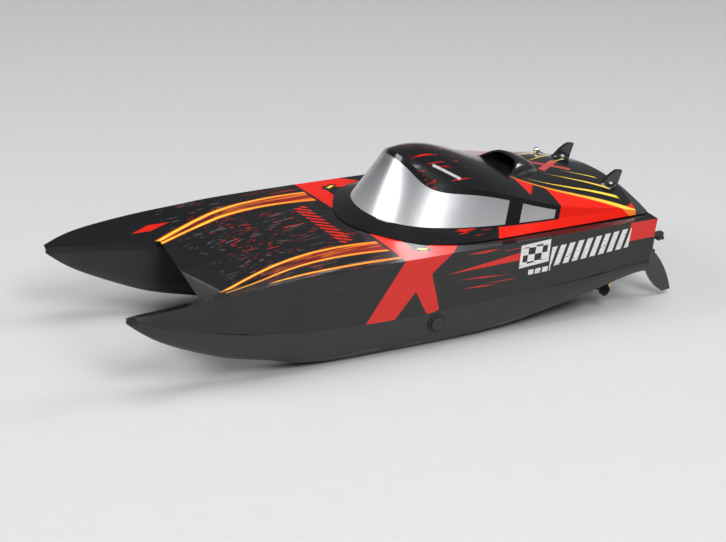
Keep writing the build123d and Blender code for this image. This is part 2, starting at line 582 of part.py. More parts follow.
def pushrod():
    """Steel wire from servo to port tiller, flattened and slotted at both ends."""
    y = RUDDER_Y - LINK_ARM
    z = link_height()
    flat = PUSHROD_FLAT / 2
    half = PIN_DIAMETER / 2 + PIN_PLAY
    aft = bar(RUDDER_X - 3, RUDDER_X + 4, y - 2, y + 3.2, z - flat, z + flat)
    aft -= bar(RUDDER_X - half, RUDDER_X + half, y - half, y + 2.1, z - 5, z + 5)
    wire = rod((RUDDER_X + 3.5, y, z), (1, 0, 0), WIRE_DIAMETER, SERVO_X - RUDDER_X - 6)
    fork = bar(SERVO_X - 3, SERVO_X + 3, y - flat, y + flat, z - 2.4, z + 3.6)
    fork -= bar(SERVO_X - half, SERVO_X + half, y - 5, y + 5, z - half, z + 2.1)
    return aft + wire + fork


def pushrod_boot():
    """Rubber gland in the transom."""
    y = RUDDER_Y - LINK_ARM
    z = link_height()
    gland = rod((-1.2, y, z), (1, 0, 0), 9, 1.2) + rod((-0.5, y, z), (1, 0, 0), BOOT_DIAMETER, 5.5)
    return gland - rod((-5, y, z), (1, 0, 0), WIRE_DIAMETER + 2 * RUNNING + 0.1, 20)


def servo_axis():
    """Centre of the servo's output: above the pushrod by one arm."""
    return (SERVO_X, RUDDER_Y - LINK_ARM - 2.6, link_height() + LINK_ARM)


def servo():
    """Small servo lying on its side, output to port, with mounting ears."""
    x, y, z = servo_axis()
    length, depth, height = SERVO_SIZE
    case = bar(x - 7, x - 7 + length, y - 2 - depth, y - 2, z - height / 2, z + height / 2)
    case = fillet(case.edges().filter_by(Axis.Y), 1)
    case += rod((x, y - 3, z), (0, 1, 0), 8, 2.2)
    case += bar(x - 12, x + length - 2, y - 9, y - 7, z - height / 2, z + height / 2)
    for ear in (x - 9.5, x + length - 4.5):
        case -= rod((ear, y - 15, z), (0, 1, 0), 2.2, 15)
    return case


def servo_horn():
    """Output arm hanging down to the pushrod, with its pin."""
    x, y, z = servo_axis()
    arm = rod((x, y - 0.5, z), (0, 1, 0), 6, 2.0)
    arm += bar(x - 2, x + 2, y - 0.5, y + 1.2, z - LINK_ARM - 2, z)
    arm += rod((x, y - 0.5, z - LINK_ARM), (0, 1, 0), PIN_DIAMETER, 5.0)
    return arm


def servo_bracket():
    """Tray on posts that carries the servo over the sloping floor."""
    x, y, z = servo_axis()
    length, depth, height = SERVO_SIZE
    top = z - height / 2
    tray = bar(x - 7, x - 7 + length, y - 2 - depth, y - 10, top - 2, top)
    legs = bar(x - 6, x - 4, y - depth, y - 10, VEE_HEIGHT, top - 1)
    legs += bar(x + length - 12, x + length - 10, y - depth, y - 10, VEE_HEIGHT, top - 1)
    return (tray + legs) & bridge(WALL + 0.05)


# ---------- equipment ----------
def battery_tray():
    """Flat tray on two cross ribs over the vee floor."""
    length, width, _ = BATTERY_SIZE
    x0, x1 = BATTERY_BACK - 16, BATTERY_BACK + length + 4
    tray = bar(x0, x1, -width / 2 - 3, width / 2 + 3, TRAY_TOP - 2, TRAY_TOP)
    tray += bar(BATTERY_BACK + length + 0.4, x1, -width / 2 - 3, width / 2 + 3, TRAY_TOP - 1, TRAY_TOP + 5)
    tray += bar(BATTERY_BACK - 2.4, BATTERY_BACK - 0.4, -width / 2 - 3, width / 2 + 3, TRAY_TOP - 1, TRAY_TOP + 5)
    for x in (BATTERY_BACK + 8, BATTERY_BACK + length - 12):
        tray += bar(x, x + 2, -width / 2, width / 2, VEE_HEIGHT, TRAY_TOP - 1)
    return tray & both_sides(bridge(WALL + 0.05))


def battery():
    """Two-cell pack in shrink wrap, with rounded long edges."""
    length, width, height = BATTERY_SIZE
    pack = bar(BATTERY_BACK, BATTERY_BACK + length, -width / 2, width / 2, TRAY_TOP + 0.02, TRAY_TOP + height)
    return fillet(pack.edges().filter_by(Axis.X), height / 3)


def battery_strap():
    """Woven strap over the pack, ending on the tray."""
    length, width, height = BATTERY_SIZE
    x = BATTERY_BACK + length / 2
    outer = bar(x - 8, x + 8, -width / 2 - 1.2, width / 2 + 1.2, TRAY_TOP + 0.02, TRAY_TOP + height + 1.2)
    outer = fillet(outer.edges().filter_by(Axis.X).group_by(Axis.Z)[-1], height / 3 + 1)
    inner = bar(x - 9, x + 9, -width / 2 - 0.1, width / 2 + 0.1, TRAY_TOP - 2, TRAY_TOP + height + 0.1)
    return outer - fillet(inner.edges().filter_by(Axis.X).group_by(Axis.Z)[-1], height / 3)


def radio_box():
    """Receiver and speed controller under the foredeck, with ribbed lid."""
    length, width, height = RADIO_SIZE
    x0 = HATCH_FRONT + 12
    z0 = TRAY_TOP - 2
    box = bar(x0, x0 + length, -width / 2, width / 2, z0, z0 + height)
    box = fillet(box.edges().filter_by(Axis.Z), 2)
    for step in range(5):
        x = x0 + 6 + 6 * step
        box -= bar(x, x + 2, -width / 2 + 4, width / 2 - 4, z0 + height - 1, z0 + height + 1)
    ribs = bar(x0 + 4, x0 + 6, -width / 2 + 2, width / 2 - 2, VEE_HEIGHT, z0)
    ribs += bar(x0 + length - 6, x0 + length - 4, -width / 2 + 2, width / 2 - 2, VEE_HEIGHT, z0)
    return box + (ribs & both_sides(bridge(WALL + 0.05)))


def switch_body():
    """Slide switch case glued on the tray's aft end."""
    x, y, z = BATTERY_BACK - 10, 0.0, TRAY_TOP + 0.02
    case = bar(x - 4, x + 4, y - 10, y + 10, z, z + 6)
    return case - bar(x - 2.3, x + 2.3, y - 6, y + 6, z + 3, z + 10)


def switch_slider():
    x, y, z = BATTERY_BACK - 10, 0.0, TRAY_TOP
    return bar(x - 2, x + 2, y - 5.5, y + 1.5, z + 3.3, z + 5) + bar(x - 1.5, x + 1.5, y - 4, y, z + 4, z + 9)


def drain_socket():
    """Threaded collar set in the port side."""
    collar = rod((PLUG_X, GUNWALE_Y - 3.2, PLUG_Z), (0, -1, 0), PLUG_DIAMETER + 4, 7)
    collar += rod((PLUG_X, GUNWALE_Y - 1.8, PLUG_Z), (0, -1, 0), PLUG_DIAMETER + 7, 1.6)
    return collar - rod((PLUG_X, GUNWALE_Y + 5, PLUG_Z), (0, -1, 0), PLUG_DIAMETER + 2 * RUNNING, 30)


def drain_plug():
    """Plug with a knurled head, pulled out sideways to drain the sponson."""
    stem = rod((PLUG_X, GUNWALE_Y - 1.0, PLUG_Z), (0, -1, 0), PLUG_DIAMETER, 9)
    head = rod((PLUG_X, GUNWALE_Y - 0.4, PLUG_Z), (0, -1, 0), PLUG_DIAMETER + 3, 1.3)
    for count in range(10):
        turn = 2 * pi * count / 10
        spot = (PLUG_X + 5.4 * cos(turn), GUNWALE_Y, PLUG_Z + 5.4 * sin(turn))
        head -= rod(spot, (0, -1, 0), 1.4, 4)
    return head + stem


def main():
    shell = hull_shell()
    above_seam = parting()
    windshield, port_window = glazing()
    pieces = {
        "lower_hull": lower_hull(shell, above_seam),
        "deck": deck(shell, above_seam),
        "hatch_seal": hatch_seal(),
        "canopy": canopy(windshield, port_window),
        "windshield": windshield,
        "port_quarter_window": port_window,
        "starboard_quarter_window": starboard(port_window),
        "roof_scoop": roof_scoop(),
        "canopy_pegs": canopy_pegs(),
        "canopy_lock_knob": lock_knob(),
        "lock_tongue": lock_tongue(),
        "stern_cover": stern_cover(),
        "bracket_screws": bracket_screws(),
        "tie_bar": tie_bar(),
        "pushrod": pushrod(),
        "pushrod_boot": pushrod_boot(),
        "servo": servo(),
        "servo_horn": servo_horn(),
        "servo_bracket": servo_bracket(),
        "battery_tray": battery_tray(),
        "battery": battery(),
        "battery_strap": battery_strap(),
        "radio_box": radio_box(),
        "switch_body": switch_body(),
        "switch_slider": switch_slider(),
        "drain_socket": drain_socket(),
        "drain_plug": drain_plug(),
        "port_tiller": tiller(True),
        "starboard_tiller": starboard(tiller(False)),
    }
    paired = {"tail_fin": tail_fin, "motor": motor, "motor_mount": motor_mount, "motor_strap": motor_strap,
              "motor_shaft": motor_shaft, "shaft_coupling": shaft_coupling, "prop_shaft": prop_shaft,
              "stern_tube": stern_tube, "prop_strut": prop_strut, "propeller": propeller, "prop_nut": prop_nut,
              "rudder": rudder, "rudder_bracket": rudder_bracket}
    for name, make in paired.items():
        port_piece = make()
        pieces["port_" + name] = port_piece
        pieces["starboard_" + name] = starboard(port_piece)
    os.makedirs("parts", exist_ok=True)
    rudder_reach = RUDDER_X - 27
    middle = (HULL_LENGTH + rudder_reach) / 2
    for name, piece in pieces.items():
        export_step(Pos(-middle, 0, 0) * piece, "parts/" + name + ".step")


main()
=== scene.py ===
"""Looks of a radio-controlled racing catamaran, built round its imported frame."""
import json
import logging
import math
from dataclasses import dataclass
from enum import Enum
from typing import Sequence

import bmesh
import bpy
from mathutils import Matrix, Vector


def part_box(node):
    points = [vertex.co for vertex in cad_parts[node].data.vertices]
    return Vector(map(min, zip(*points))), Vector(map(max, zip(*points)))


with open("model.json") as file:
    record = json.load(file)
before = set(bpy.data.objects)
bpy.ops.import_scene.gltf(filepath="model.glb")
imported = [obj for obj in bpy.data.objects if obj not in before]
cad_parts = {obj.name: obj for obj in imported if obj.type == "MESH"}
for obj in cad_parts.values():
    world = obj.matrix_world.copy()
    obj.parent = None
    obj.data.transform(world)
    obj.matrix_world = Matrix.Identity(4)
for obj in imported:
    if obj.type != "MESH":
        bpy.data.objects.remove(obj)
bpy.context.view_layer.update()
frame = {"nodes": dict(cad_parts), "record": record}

LOG = logging.getLogger("racing_catamaran")
Colour = tuple[float, float, float]

RED: Colour = (0.70, 0.012, 0.004)
DEEP_RED: Colour = (0.30, 0.012, 0.008)
ORANGE: Colour = (0.86, 0.17, 0.012)
YELLOW: Colour = (0.98, 0.66, 0.07)
AMBER: Colour = (0.95, 0.36, 0.03)
BLACK: Colour = (0.006, 0.006, 0.007)
WHITE: Colour = (0.80, 0.80, 0.78)
SMOKE: Colour = (0.16, 0.15, 0.15)


class Facing(Enum):
    """Which way a patch of surface looks."""

    UP = "up"
    SIDE = "side"


# ---------------------------------------------------------------- shader expressions
class Wire:
    """One socket of a shader tree, with arithmetic that adds Math nodes."""

    def __init__(self, tree: "Tree", socket: bpy.types.NodeSocket) -> None:
        """Args:
            tree: the tree that holds the socket.
            socket: the output socket that is wrapped.
        """
        self.tree = tree
        self.socket = socket

    def __add__(self, other: "Value") -> "Wire":
        """Sum."""
        return self.tree.math("ADD", self, other)

    def __sub__(self, other: "Value") -> "Wire":
        """Difference."""
        return self.tree.math("SUBTRACT", self, other)

    def __rsub__(self, other: "Value") -> "Wire":
        """Difference, from the right."""
        return self.tree.math("SUBTRACT", other, self)

    def __mul__(self, other: "Value") -> "Wire":
        """Product."""
        return self.tree.math("MULTIPLY", self, other)

    def __truediv__(self, other: "Value") -> "Wire":
        """Quotient."""
        return self.tree.math("DIVIDE", self, other)

    def __abs__(self) -> "Wire":
        """Size without sign."""
        return self.tree.math("ABSOLUTE", self)

    def __and__(self, other: "Value") -> "Wire":
        """Smaller of two values: where both masks are on."""
        return self.tree.math("MINIMUM", self, other)

    def __or__(self, other: "Value") -> "Wire":
        """Larger of two values: where either mask is on."""
        return self.tree.math("MAXIMUM", self, other)

    __radd__ = __add__
    __rmul__ = __mul__

    def fraction(self) -> "Wire":
        """Part after the decimal point."""
        return self.tree.math("FRACT", self)

    def floor(self) -> "Wire":
        """Whole part."""
        return self.tree.math("FLOOR", self)

    def over(self, low: "Value", soft: float) -> "Wire":
        """Mask that rises from 0 to 1 as the value passes low, over the distance soft."""
        return self.tree.math("ADD", (self - low) / soft, 0.5, clamp=True)

    def within(self, low: "Value", high: "Value", soft: float) -> "Wire":
        """Mask that is 1 between low and high."""
        return self.over(low, soft) & (1 - self.over(high, soft))


Value = Wire | float


class Tree:
    """A material's node tree: one method for any node, and the few shorthands used everywhere."""

    def __init__(self, name: str) -> None:
        """Args:
            name: name of the new material.
        """
        self.material = bpy.data.materials.new(name)
        self.material.use_nodes = True
        self.nodes = self.material.node_tree.nodes
        self.links = self.material.node_tree.links
        self.nodes.clear()
        self.output = self.nodes.new("ShaderNodeOutputMaterial")

    def node(self, kind: str, settings: dict | None = None, inputs: dict | None = None) -> bpy.types.Node:
        """Adds a node.

        Args:
            kind: the node's type.
            settings: attributes set first, such as an operation.
            inputs: values or wires by socket name or index.
        Returns:
            The new node.
        """
        made = self.nodes.new(kind)
        for key, value in (settings or {}).items():
            setattr(made, key, value)
        for key, value in (inputs or {}).items():
            if isinstance(value, Wire):
                self.links.new(value.socket, made.inputs[key])
            else:
                made.inputs[key].default_value = value
        return made

    def math(self, operation: str, *values: Value, clamp: bool = False) -> Wire:
        """A Math node on one or two values."""
        settings = {"operation": operation, "use_clamp": clamp}
        return Wire(self, self.node("ShaderNodeMath", settings, dict(enumerate(values))).outputs[0])

    def mix(self, factor: Value, first: "Wire | Colour", second: "Wire | Colour") -> Wire:
        """A colour between two others."""
        inputs = {0: factor, 6: self.colour(first), 7: self.colour(second)}
        return Wire(self, self.node("ShaderNodeMix", {"data_type": "RGBA"}, inputs).outputs[2])

    @staticmethod
    def colour(value: "Wire | Colour") -> "Wire | tuple[float, float, float, float]":
        """A colour ready for a socket."""
        return value if isinstance(value, Wire) else (*value, 1.0)

    def object_point(self) -> Wire:
        """Position in the part's own frame."""
        return Wire(self, self.node("ShaderNodeTexCoord").outputs["Object"])

    def stretched(self, point: Wire, scale: Sequence[float]) -> Wire:
        """Position scaled along each axis."""
        inputs = {0: point, 1: tuple(scale)}
        return Wire(self, self.node("ShaderNodeVectorMath", {"operation": "MULTIPLY"}, inputs).outputs[0])

    def noise(self, point: Wire, scale: float, detail: float = 3.0) -> Wire:
        """Soft noise from 0 to 1."""
        inputs = {"Vector": point, "Scale": scale, "Detail": detail}
        return Wire(self, self.node("ShaderNodeTexNoise", None, inputs).outputs[0])

    def axes(self, point: Wire) -> tuple[Wire, Wire, Wire]:
        """The three coordinates of a point."""
        parts = self.node("ShaderNodeSeparateXYZ", None, {0: point}).outputs
        return Wire(self, parts[0]), Wire(self, parts[1]), Wire(self, parts[2])

    def upward(self) -> Wire:
        """Height part of the surface's direction: 1 looks up, 0 sideways."""
        direction = Wire(self, self.node("ShaderNodeNewGeometry").outputs["Normal"])
        return self.axes(direction)[2]


# ---------------------------------------------------------------- finishes
@dataclass(frozen=True)
class Finish:
    """A surface finish: colour with slight variation, roughness variation and a fine grain."""

    name: str
    colour: Colour
    roughness: float = 0.4
    metallic: float = 0.0
    coat: float = 0.0
    variation: float = 0.12
    grain: float = 900.0
    grain_depth: float = 0.00002
    scuff: float = 0.08
    stretch: tuple[float, float, float] = (1.0, 1.0, 1.0)
    specular: float = 0.5

    def paint(self, tree: Tree, point: Wire) -> Wire:
        """Base colour over the surface; liveries override it.

        Args:
            tree: the material's tree.
            point: position in the part's frame.
        Returns:
            The base colour.
        """
        cloud = tree.noise(point, 60.0)
        dark = tuple(part * (1 - self.variation) for part in self.colour)
        light = tuple(min(1.0, part * (1 + self.variation)) for part in self.colour)
        return tree.mix(cloud, dark, light)

    def make(self) -> bpy.types.Material:
        """Builds the material.

        Returns:
            The new material.
        """
        tree = Tree(self.name)
        point = tree.object_point()
        fine = tree.stretched(point, self.stretch)
        scratches = tree.noise(tree.stretched(point, (0.25, 1.0, 1.0)), 700.0).over(0.64, 0.10)
        smears = tree.noise(point, 45.0)
        rough = self.roughness + (smears - 0.5) * self.scuff + scratches * (self.scuff * 0.6)
        height = tree.noise(fine, self.grain)
        bump = tree.node("ShaderNodeBump", None, {"Height": height, "Distance": self.grain_depth, "Strength": 0.5})
        inputs = {
            "Base Color": self.paint(tree, point),
            "Roughness": rough,
            "Metallic": self.metallic,
            "Coat Weight": self.coat,
            "Coat Roughness": 0.06,
            "Specular IOR Level": self.specular,
            "Normal": Wire(tree, bump.outputs[0]),
        }
        shader = tree.node("ShaderNodeBsdfPrincipled", None, inputs)
        tree.links.new(shader.outputs[0], tree.output.inputs[0])
        return tree.material


@dataclass(frozen=True)
class Boat:
    """Places on the boat, in metres, taken from the frame."""

    stern: float
    side: float

    @staticmethod
    def read() -> "Boat":
        """Reads the places from the deck's box."""
        low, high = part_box("deck")
        return Boat(stern=low.x, side=high.y)


BOAT = Boat.read()
MM = 1000.0
GUNWALE_Z = 73.4           # millimetres over the keel
GUNWALE_Y = BOAT.side * MM
OUTER_SIDE = 67.0          # millimetres from the middle: everything further out is the outside of the hull


class Canvas:
    """Drawing in millimetres on a painted surface: x from the stern, y from the middle, z from the keel."""

    def __init__(self, tree: Tree, point: Wire) -> None:
        """Args:
            tree: the material's tree.
            point: position in the part's frame.
        """
        self.tree = tree
        x, y, z = tree.axes(point)
        self.x = (x - BOAT.stern) * MM
        self.y = y * MM
        self.z = z * MM
        self.out = abs(self.y)
        self.port = self.y.over(0.0, 0.1)
        self.up = tree.upward().over(0.5, 0.2)

    def facing(self, which: Facing) -> Wire:
        """Mask of the surfaces that look up, or sideways."""
        return self.up if which is Facing.UP else 1 - self.up

    def polygon(self, u: Wire, v: Wire, corners: Sequence[tuple[float, float]], soft: float = 0.6,
                grow: float = 0.0) -> Wire:
        """Mask inside a convex outline whose corners run clockwise or anticlockwise.

        Args:
            u: first coordinate.
            v: second coordinate.
            corners: the outline's corners as (u, v).
            soft: width of the edge.
            grow: distance by which the outline is widened.
        Returns:
            The mask.
        """
        pairs = list(zip(corners, list(corners[1:]) + [corners[0]]))
        area = sum(a[0] * b[1] - b[0] * a[1] for a, b in pairs)
        sense = 1.0 if area > 0 else -1.0
        inside = None
        for (ua, va), (ub, vb) in pairs:
            length = math.hypot(ub - ua, vb - va)
            nu, nv = -(vb - va) / length * sense, (ub - ua) / length * sense
            edge = u * nu + v * nv - (ua * nu + va * nv)
            inside = edge if inside is None else inside & edge
        return inside.over(-grow, soft)

    def curve_band(self, line: Wire, half: float, soft: float = 0.5) -> Wire:
        """Mask of the points within half of a line, given the signed distance from it."""
        return 1 - abs(line).over(half, soft)

    def streaks(self, point: Wire, along: float, across: float, level: float) -> Wire:
        """Broken streaks that run fore and aft."""
        cloud = self.tree.noise(self.tree.stretched(point, (along, across, across)), 1.0, 2.0)
        return cloud.over(level, 0.03)


# The crossing bands on each side, as convex patches of (x from the stern, distance over the gunwale:
# inboard is negative, down the side is positive).
CROSS_PATCHES = (
    ((222, -49), (224, 0), (208, -9), (209, -31)),
    ((224, 0), (250, 45), (227.5, 46), (212, 25)),
    ((224, 0), (212, 25), (201, 13.5), (208, -9)),
    ((208, -9), (201, 13.5), (175, -10), (192, -17.5)),
    ((212, 25), (199, 46), (190, 43), (201, 13.5)),
)

# Outlines on the hull's side, as (x from the stern, z over the keel).
RED_FLASHES = (
    ((186, 57), (122, 58.5), (122, 65)),
    ((172, 70.3), (156, 71), (144, 70.4), (156, 69.2)),
    ((174, 50.6), (154, 50.4), (136, 48.6), (154, 49.2)),
    ((171, 43.2), (156, 43.3), (144, 42.2), (156, 42.2)),
    ((25, 57.5), (25, 73), (-2, 73), (-2, 58)),
)
PLATE = ((125, 70), (99, 71.5), (98, 53.5), (124, 51.5))
PLATE_INSIDE = ((122.6, 67.8), (101.2, 69.2), (100.4, 55.8), (121.8, 54))
UNDER_PLATE = ((115, 49), (95.5, 49.6), (95, 45.6), (114.6, 45))
CHECK_SIZE = (6.2, 5.6)
BAR_PITCH, BAR_LEAN = 8.1, 0.22

# Outlines on the deck, as (x from the stern, y) or (x from the stern, distance from the middle).
FAR_DASH = ((366, -57.5), (352, -56), (336, -59.5), (352, -61.5))
NOTCH = ((211, 60), (199, 66.5), (195, 63), (206, 56))
GLEAM = ((206, 60.5), (200, 64), (198, 62.5), (204, 59))


@dataclass(frozen=True)
class DeckLivery(Finish):
    """Gloss black with crossing red bands, paired yellow lines, fine streaks, and a painted highlight along the port
    gunwale.
    """

    def cross(self, canvas: Canvas) -> Wire:
        """Mask of the red bands that cross over each gunwale.

        Args:
            canvas: the drawing.
        Returns:
            The mask.
        """
        over = canvas.tree.math("ADD", (canvas.out - GUNWALE_Y) * canvas.facing(Facing.UP),
                                (GUNWALE_Z - canvas.z) * canvas.facing(Facing.SIDE))
        mask = None
        for corners in CROSS_PATCHES:
            patch = canvas.polygon(canvas.x, over, corners, grow=0.35)
            mask = patch if mask is None else mask | patch
        return mask & (canvas.facing(Facing.UP) | canvas.out.over(OUTER_SIDE, 1.0))

    def lines(self, canvas: Canvas) -> tuple[Wire, Wire, Wire]:
        """Lines along the foredeck.

        Args:
            canvas: the drawing.
        Returns:
            Masks of the yellow lines, of their orange edges, and of the warm fill between them.
        """
        x = canvas.x
        inner = canvas.port * (35.2 + (x - 275) * (x - 275) * 0.0019) \
            + (1 - canvas.port) * (49.0 - (x - 285) * (x - 285) * 0.0016)
        outer = canvas.port * (49.0 + (x - 290) * (x - 290) * 0.0014) \
            + (1 - canvas.port) * (59.4 - (x - 255) * (x - 255) * 0.0015)
        third = 68.4 - (x - 229) * 0.055
        run = x.within(226, 353, 1.5) & canvas.facing(Facing.UP)
        short = x.within(226, 322, 8.0) & canvas.facing(Facing.UP) & canvas.port
        core, edge = None, None
        for line, reach in ((inner, run), (outer, run), (third, short)):
            thin = canvas.curve_band(canvas.out - line, 0.6) & reach
            wide = canvas.curve_band(canvas.out - line, 1.5, 1.2) & reach
            core = thin if core is None else core | thin
            edge = wide if edge is None else edge | wide
        fill = canvas.out.over(inner, 0.6) & (1 - canvas.out.over(outer, 0.6)) & run
        fill = fill * (1 - x.over(285, 90.0)) * 0.75
        return core, edge, fill

    def side_marks(self, canvas: Canvas, point: Wire) -> tuple[Wire, Wire]:
        """Marks on the hull's sides.

        Args:
            canvas: the drawing.
            point: position in the part's frame.
        Returns:
            Masks of the red flashes, and of the white blocks of the side panel.
        """
        x, z = canvas.x, canvas.z
        side = canvas.facing(Facing.SIDE) & canvas.out.over(OUTER_SIDE, 1.0)
        flashes = [canvas.polygon(x, z, corners, 0.4) for corners in RED_FLASHES]
        red = flashes[0]
        for flash in flashes[1:]:
            red = red | flash
        plate = canvas.polygon(x, z, PLATE, 0.4)
        checks = ((x / CHECK_SIZE[0]).floor() + (z / CHECK_SIZE[1]).floor()) * 0.5
        checks = checks.fraction().over(0.25, 0.02)
        plate_white = plate & (1 - (canvas.polygon(x, z, PLATE_INSIDE, 0.4) & checks))
        under = canvas.polygon(x, z, UNDER_PLATE, 0.4)
        under = under & (x / 6.4).fraction().over(0.22, 0.05)
        rise = z - (97 - x) * 0.06
        row = rise.within(48.6, 64.4, 0.5) & x.within(23.5, 96.5, 0.5)
        bars = ((x + rise * BAR_LEAN) / BAR_PITCH).fraction().within(0.10, 0.72, 0.06) & row
        worn = self.worn(canvas, point)
        white = (plate_white | under | bars) & worn
        return red & side, white & side

    def worn(self, canvas: Canvas, point: Wire) -> Wire:
        """Small chips out of the printed blocks."""
        return 1 - canvas.tree.noise(canvas.tree.stretched(point, (1.0, 1.0, 2.5)), 420.0).over(0.66, 0.04)

    def paint(self, tree: Tree, point: Wire) -> Wire:
        """The whole deck livery.

        Args:
            tree: the material's tree.
            point: position in the part's frame.
        Returns:
            The base colour.
        """
        canvas = Canvas(tree, point)
        x, top = canvas.x, canvas.facing(Facing.UP)
        base = tree.mix(tree.noise(point, 30.0), BLACK, self.colour)
        fore = x.within(236, 338, 10.0) & top
        ash = canvas.streaks(point, 6.0, 640.0, 0.645) & fore & canvas.out.within(4, 73, 3.0)
        embers = canvas.streaks(point, 12.0, 760.0, 0.665)
        embers = embers & x.within(232, 318, 16.0) & top
        far_dash = canvas.polygon(x, canvas.y, FAR_DASH, 0.6) & top
        side_embers = canvas.streaks(point, 11.0, 520.0, 0.69) & x.within(120, 268, 20.0) & canvas.facing(Facing.SIDE)
        # Painted highlight: a warm grey band, broken into streaks, along the rounded port gunwale where the rail
        # catches the light.
        painted_gunwale_sheen = canvas.streaks(point, 16.0, 700.0, 0.55) & canvas.out.within(64.5, 72, 2.0)
        painted_gunwale_sheen = painted_gunwale_sheen & x.within(236, 345, 12.0) & top & canvas.port
        row = x.within(239, 249, 0.6) & (canvas.y - (x - 244) * 0.3).within(-36, 31, 1.0) & top
        bars = ((canvas.y + x * 0.9) / 6.4).fraction().within(0.16, 0.62, 0.07) & row
        core, edge, fill = self.lines(canvas)
        red, white = self.side_marks(canvas, point)
        paint = tree.mix(ash * 0.5, base, SMOKE)
        paint = tree.mix(painted_gunwale_sheen * 0.6, paint, (0.26, 0.20, 0.18))
        paint = tree.mix((embers | side_embers | far_dash) * 0.8, paint, RED)
        paint = tree.mix(bars * self.worn(canvas, point), paint, RED)
        warm = tree.mix(canvas.streaks(point, 8.0, 260.0, 0.5), DEEP_RED, ORANGE)
        paint = tree.mix(fill, paint, warm)
        paint = tree.mix(edge, paint, ORANGE)
        paint = tree.mix(core, paint, tree.mix(x.over(270, 70.0), AMBER, YELLOW))
        paint = tree.mix(self.cross(canvas), paint, RED)
        notch = canvas.polygon(x, canvas.out, NOTCH, 0.4) & top
        paint = tree.mix(notch, paint, BLACK)
        gleam = canvas.polygon(x, canvas.out, GLEAM, 0.5) & top
        paint = tree.mix(gleam, paint, YELLOW)
        paint = tree.mix(red, paint, RED)
        return tree.mix(white, paint, WHITE)


@dataclass(frozen=True)
class CanopyLivery(Finish):
    """Gloss black cabin with a red tail that breaks into orange and yellow streaks, and a painted reflection high on
    its port side.
    """

    def taper(self, canvas: Canvas, line: Wire, front: float, rate: float) -> Wire:
        """Streak that starts in a point and widens towards the stern.

        Args:
            canvas: the drawing.
            line: signed distance from the streak's middle.
            front: place of its point.
            rate: growth of its half width.
        Returns:
            The mask.
        """
        half = (front - canvas.x) * rate
        return (half - abs(line)).over(0.15, 0.6) & canvas.x.over(20, 3.0)

    def paint(self, tree: Tree, point: Wire) -> Wire:
        """The whole cabin livery.

        Args:
            tree: the material's tree.
            point: position in the part's frame.
        Returns:
            The base colour.
        """
        canvas = Canvas(tree, point)
        x, z, out = canvas.x, canvas.z, canvas.out
        base = tree.mix(tree.noise(point, 30.0), BLACK, self.colour)
        flank = 24 + (104 - x) * 0.42
        red = out.over(flank, 0.8) & (1 - x.over(102, 1.0))
        windows = x.over(84 - (z - 80) * 0.35, 0.8) & (1 - z.over(96, 0.6)) & z.over(79.6, 0.4)
        red = red & (1 - windows)
        sill = (1 - z.over(79.6, 0.4)) & (1 - (x + (z - 74) * 0.8).over(140, 0.8))
        roof = canvas.facing(Facing.UP)
        spread = (104 - x) * 0.05
        glow = out.within(flank - 0.4, flank + 0.6 + spread, 1.4) & (1 - x.over(104, 2.0)) & roof
        fade = (1 - (x / 100)).over(0.4, 0.9)
        second = self.taper(canvas, out - 22 - (90 - x) * 0.37, 92, 0.030) & roof
        third = self.taper(canvas, out - 13 - (62 - x) * 0.55, 64, 0.042) & roof
        fourth = self.taper(canvas, out - 8 - (44 - x) * 0.5, 46, 0.045) & roof
        centre_x, centre_y = 47.0, -4.0
        lean = (x - centre_x) * 0.72
        swing = canvas.y - centre_y
        near = 1 - tree.math("SQRT", (x - centre_x) * (x - centre_x) + swing * swing).over(17, 2.0)
        mark = (canvas.curve_band(swing - lean, 3.4) | canvas.curve_band(swing + lean, 3.0)) & near & roof
        flecks = canvas.streaks(point, 16.0, 420.0, 0.64) & x.within(146, 182, 10.0) & roof
        # Painted reflection: a thin light grey streak high on the port side of the cabin, standing in for a lamp's
        # reflection.
        patch = canvas.polygon(x, out, ((173, 22.5), (158, 37), (156, 35.5), (171, 21)), 0.5)
        patch = patch & canvas.port & z.over(98, 0.5)
        paint = tree.mix(flecks * 0.7, base, RED)
        paint = tree.mix(mark * 0.85, paint, (0.62, 0.07, 0.06))
        paint = tree.mix(sill | red, paint, RED)
        paint = tree.mix(glow, paint, tree.mix(fade, ORANGE, YELLOW))
        paint = tree.mix(second | third | fourth, paint, YELLOW)
        return tree.mix(patch * 0.8, paint, (0.5, 0.5, 0.52))


@dataclass(frozen=True)
class Glazing(Finish):
    """Silver lacquer, darker towards the roof, with a fine dotted shade print."""

    def paint(self, tree: Tree, point: Wire) -> Wire:
        """Silver that darkens upwards."""
        canvas = Canvas(tree, point)
        shade = canvas.z.over(98, 34.0)
        silver = tree.mix(shade, self.colour, (0.42, 0.43, 0.45))
        return tree.mix(tree.noise(point, 1500.0).over(0.6, 0.2) * 0.15, silver, (0.3, 0.3, 0.31))


@dataclass(frozen=True)
class LowerHull(Finish):
    """Semi-matt dark moulding, scuffed along the keels."""

    def paint(self, tree: Tree, point: Wire) -> Wire:
        """Dark grey with pale rub marks low down."""
        canvas = Canvas(tree, point)
        base = tree.mix(tree.noise(point, 25.0), self.colour, tuple(1.35 * part for part in self.colour))
        rub = canvas.streaks(point, 18.0, 240.0, 0.60) & (1 - canvas.z.over(7, 9.0))
        return tree.mix(rub * 0.45, base, (0.20, 0.20, 0.20))


@dataclass(frozen=True)
class Webbing(Finish):
    """Woven strap."""

    def paint(self, tree: Tree, point: Wire) -> Wire:
        """Alternating threads."""
        canvas = Canvas(tree, point)
        weave = ((canvas.x / 1.4).floor() + ((canvas.y + canvas.z) / 1.0).floor()) * 0.5
        return tree.mix(weave.fraction().over(0.25, 0.05), self.colour, (0.09, 0.09, 0.09))


